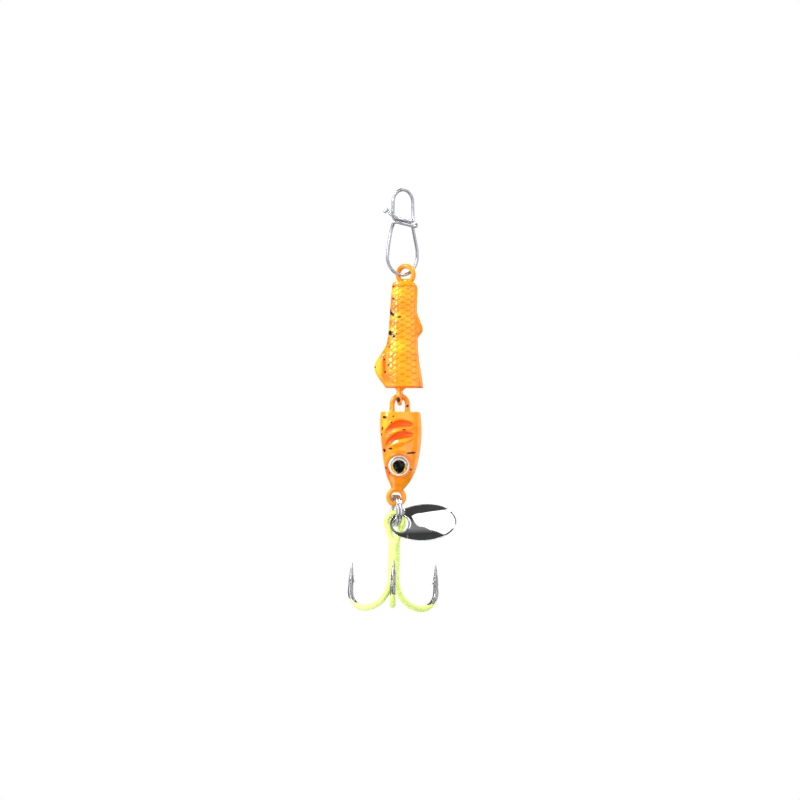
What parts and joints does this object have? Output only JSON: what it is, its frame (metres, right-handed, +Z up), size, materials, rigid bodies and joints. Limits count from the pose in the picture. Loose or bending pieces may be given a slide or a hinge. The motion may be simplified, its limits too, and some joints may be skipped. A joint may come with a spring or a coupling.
{
  "type": "jointed metal fishing lure",
  "caption": "Small two-section cast metal fishing lure with a wire snap, a split ring carrying a flipper blade and a treble hook, shown hanging nose down.",
  "frame": {"origin": "line tie: the inner top of the snap's upper bend, where the line or leader pulls", "axes": "+Z up along the hanging lure towards the line, -Y the flank that faces the viewer, +X the belly side and the way the blade points"},
  "size_m": [0.0202, 0.0149, 0.0788],
  "materials": {
    "snap_wire": "bright nickel-plated spring wire",
    "body_paint": "glossy orange lacquer with yellow patches and black flecks",
    "eye_foil": "gold-silver foil iris with a black pupil",
    "clear_resin": "clear moulded resin dome",
    "ring_steel": "nickel-plated spring steel",
    "blade_chrome": "mirror nickel plating",
    "hook_paint": "chartreuse lacquer on eye, shank and bends, bare bright steel points"
  },
  "bodies": {
    "snap": {"snap_frame": "snap_wire"},
    "upper_gate": {"snap_upper_gate": "snap_wire"},
    "lower_gate": {"snap_lower_gate": "snap_wire"},
    "tail": {"tail_casting": "body_paint", "tail_wire": "body_paint"},
    "head": {"head_casting": "body_paint", "head_wire": "body_paint", "eye_disc_left": "eye_foil", "eye_disc_right": "eye_foil", "eye_dome_left": "clear_resin", "eye_dome_right": "clear_resin"},
    "ring": {"split_ring": "ring_steel"},
    "flipper": {"blade": "blade_chrome"},
    "hook": {"hook_double": "hook_paint", "hook_single": "hook_paint", "hook_braze": "hook_paint"}
  },
  "joints": [
    {"name": "upper_gate_flex", "type": "hinge", "parent": "snap", "child": "upper_gate", "pos_m": [0.00183, 0.00067, -0.00215], "axis": [0.9397, 0.342, 0], "range_deg": [-30, 0], "stiffness_Nm_per_rad": 0.0004},
    {"name": "lower_gate_flex", "type": "hinge", "parent": "snap", "child": "lower_gate", "pos_m": [-0.00288, -0.00105, -0.0121], "axis": [0.9397, 0.342, 0], "range_deg": [0, 30], "stiffness_Nm_per_rad": 0.0004},
    {"name": "tail_swing", "type": "hinge", "parent": "snap", "child": "tail", "pos_m": [-0.00011, -0.00004, -0.01555], "axis": [0.9397, 0.342, 0], "range_deg": [-15, 30]},
    {"name": "body_joint", "type": "hinge", "parent": "tail", "child": "head", "pos_m": [-0.00058, 0, -0.03812], "axis": [1, 0, 0], "range_deg": [-45, 45]},
    {"name": "ring_swing", "type": "hinge", "parent": "head", "child": "ring", "pos_m": [-0.00126, 0, -0.05824], "axis": [1, 0, 0], "range_deg": [-20, 20]},
    {"name": "blade_swing", "type": "hinge", "parent": "ring", "child": "flipper", "pos_m": [-0.00095, -0.00152, -0.06158], "axis": [0, 0.9781, -0.2079], "range_deg": [-15, 70]},
    {"name": "hook_swing", "type": "hinge", "parent": "ring", "child": "hook", "pos_m": [-0.00136, 0, -0.06205], "axis": [0, 1, 0], "range_deg": [-30, 30]}
  ]
}
